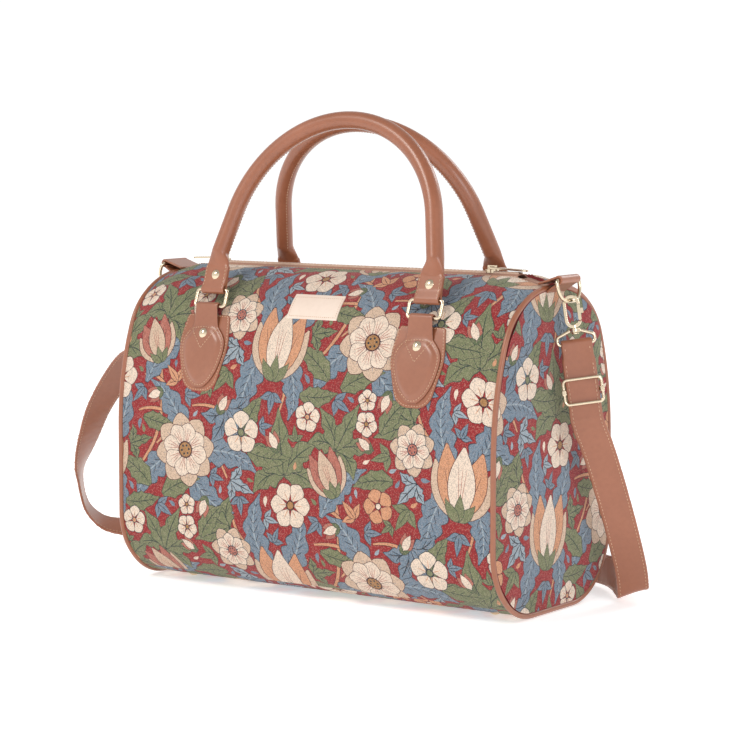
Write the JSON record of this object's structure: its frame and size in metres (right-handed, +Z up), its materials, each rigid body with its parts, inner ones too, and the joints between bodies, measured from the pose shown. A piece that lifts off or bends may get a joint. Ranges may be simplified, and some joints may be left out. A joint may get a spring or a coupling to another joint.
{
  "type": "travel bag",
  "caption": "Barrel travel bag of woven floral fabric with rolled leather handles, a zip along the top and an adjustable shoulder strap clipped to D-rings.",
  "frame": {"origin": "on the ground under the middle foot of the base", "axes": "+X along the zip towards the right end, -Y towards the front, +Z up"},
  "size_m": [0.6925, 0.2667, 0.4686],
  "materials": {
    "woven_floral_fabric": "woven",
    "tan_leather": "smooth, satin",
    "pale_gold_metal": "polished",
    "lining_cloth": "plain weave",
    "stiffener_board": "matt",
    "zip_tape_cloth": "ribbed",
    "zip_teeth_cream": "satin",
    "cream_plate": "satin",
    "handle_core_cord": "matt"
  },
  "bodies": {
    "bag": {"front_panel": "woven_floral_fabric", "back_panel": "woven_floral_fabric", "base_panel": "woven_floral_fabric", "end_panel_left": "woven_floral_fabric", "end_panel_right": "woven_floral_fabric", "piping_left": "tan_leather", "piping_right": "tan_leather", "lining": "lining_cloth", "base_board": "stiffener_board", "base_feet": "pale_gold_metal", "zip_tape_front": "zip_tape_cloth", "zip_tape_back": "zip_tape_cloth", "zip_teeth_front": "zip_teeth_cream", "zip_teeth_back": "zip_teeth_cream", "name_plate": "cream_plate", "anchor_rivets": "pale_gold_metal", "end_loop_left": "tan_leather", "end_loop_right": "tan_leather", "shoulder_strap": "tan_leather", "clasp_eye_left": "pale_gold_metal", "clasp_eye_right": "pale_gold_metal", "anchor_patch_front_left": "tan_leather", "anchor_tab_front_left": "tan_leather", "anchor_patch_front_right": "tan_leather", "anchor_tab_front_right": "tan_leather", "anchor_patch_back_left": "tan_leather", "anchor_tab_back_left": "tan_leather", "anchor_patch_back_right": "tan_leather", "anchor_tab_back_right": "tan_leather"},
    "front_ring_left": {"handle_ring_front_left": "pale_gold_metal"},
    "front_ring_right": {"handle_ring_front_right": "pale_gold_metal"},
    "front_handle": {"front_handle": "tan_leather", "front_handle_core": "handle_core_cord", "front_handle_rivets": "pale_gold_metal"},
    "back_ring_left": {"handle_ring_back_left": "pale_gold_metal"},
    "back_ring_right": {"handle_ring_back_right": "pale_gold_metal"},
    "back_handle": {"back_handle": "tan_leather", "back_handle_core": "handle_core_cord", "back_handle_rivets": "pale_gold_metal"},
    "zip_slider_left": {"zip_slider_left": "pale_gold_metal"},
    "zip_pull_left": {"zip_pull_left": "pale_gold_metal"},
    "d_ring_left": {"d_ring_left": "pale_gold_metal"},
    "clasp_hook_left": {"clasp_hook_left": "pale_gold_metal"},
    "clasp_gate_left": {"clasp_gate_left": "pale_gold_metal"},
    "zip_slider_right": {"zip_slider_right": "pale_gold_metal"},
    "zip_pull_right": {"zip_pull_right": "pale_gold_metal"},
    "d_ring_right": {"d_ring_right": "pale_gold_metal"},
    "clasp_hook_right": {"clasp_hook_right": "pale_gold_metal"},
    "clasp_gate_right": {"clasp_gate_right": "pale_gold_metal"},
    "strap_adjuster": {"strap_adjuster": "pale_gold_metal"}
  },
  "joints": [
    {"name": "front_ring_left_hinge", "type": "hinge", "parent": "bag", "child": "front_ring_left", "pos_m": [-0.119, -0.08748, 0.27919], "axis": [1, 0, 0], "range_deg": [0, 100]},
    {"name": "front_ring_right_hinge", "type": "hinge", "parent": "bag", "child": "front_ring_right", "pos_m": [0.131, -0.08748, 0.27919], "axis": [1, 0, 0], "range_deg": [0, 100]},
    {"name": "front_handle_hinge", "type": "hinge", "parent": "front_ring_left", "child": "front_handle", "pos_m": [-0.119, -0.08167, 0.29517], "axis": [1, 0, 0], "range_deg": [-3, 80]},
    {"name": "back_ring_left_hinge", "type": "hinge", "parent": "bag", "child": "back_ring_left", "pos_m": [-0.141, 0.08748, 0.27919], "axis": [-1, 0, 0], "range_deg": [0, 100]},
    {"name": "back_ring_right_hinge", "type": "hinge", "parent": "bag", "child": "back_ring_right", "pos_m": [0.109, 0.08748, 0.27919], "axis": [-1, 0, 0], "range_deg": [0, 100]},
    {"name": "back_handle_hinge", "type": "hinge", "parent": "back_ring_left", "child": "back_handle", "pos_m": [-0.141, 0.08167, 0.29517], "axis": [-1, 0, 0], "range_deg": [-3, 80]},
    {"name": "zip_slider_left_slide", "type": "slide", "parent": "bag", "child": "zip_slider_left", "axis": [1, 0, 0], "range_m": [0, 0.118]},
    {"name": "zip_pull_left_hinge", "type": "hinge", "parent": "zip_slider_left", "child": "zip_pull_left", "pos_m": [-0.168, 0, 0.3216], "axis": [0, 1, 0], "range_deg": [0, 178]},
    {"name": "d_ring_left_hinge", "type": "hinge", "parent": "bag", "child": "d_ring_left", "pos_m": [-0.233, 0, 0.314], "axis": [0, 1, 0], "range_deg": [-2, 2]},
    {"name": "clasp_hook_left_swivel", "type": "hinge", "parent": "bag", "child": "clasp_hook_left", "pos_m": [-0.25018, 0, 0.27149], "axis": [0.3746, 0, 0.9272], "range_deg": [-50, 0]},
    {"name": "clasp_gate_left_hinge", "type": "hinge", "parent": "clasp_hook_left", "child": "clasp_gate_left", "pos_m": [-0.24153, 0.00219, 0.27684], "axis": [0.3171, -0.9397, -0.1281], "range_deg": [0, 30], "stiffness_Nm_per_rad": 0.02},
    {"name": "zip_slider_right_slide", "type": "slide", "parent": "bag", "child": "zip_slider_right", "axis": [-1, 0, 0], "range_m": [0, 0.101]},
    {"name": "zip_pull_right_hinge", "type": "hinge", "parent": "zip_slider_right", "child": "zip_pull_right", "pos_m": [0.151, 0, 0.3216], "axis": [0, -1, 0], "range_deg": [0, 178]},
    {"name": "d_ring_right_hinge", "type": "hinge", "parent": "bag", "child": "d_ring_right", "pos_m": [0.233, 0, 0.314], "axis": [0, -1, 0], "range_deg": [-2, 2]},
    {"name": "clasp_hook_right_swivel", "type": "hinge", "parent": "bag", "child": "clasp_hook_right", "pos_m": [0.24057, 0, 0.26878], "axis": [-0.165, 0, 0.9863], "range_deg": [-50, 0]},
    {"name": "clasp_gate_right_hinge", "type": "hinge", "parent": "clasp_hook_right", "child": "clasp_gate_right", "pos_m": [0.24468, 0.0032, 0.27778], "axis": [0.4931, -0.866, 0.0825], "range_deg": [0, 30], "stiffness_Nm_per_rad": 0.02},
    {"name": "strap_adjuster_slide", "type": "slide", "parent": "bag", "child": "strap_adjuster", "axis": [0.165, 0, -0.9863], "range_m": [0, 0.015]}
  ],
  "couplings": [
    {"joint": "front_ring_right_hinge", "follows": "front_ring_left_hinge", "ratio": 1},
    {"joint": "back_ring_right_hinge", "follows": "back_ring_left_hinge", "ratio": 1}
  ]
}
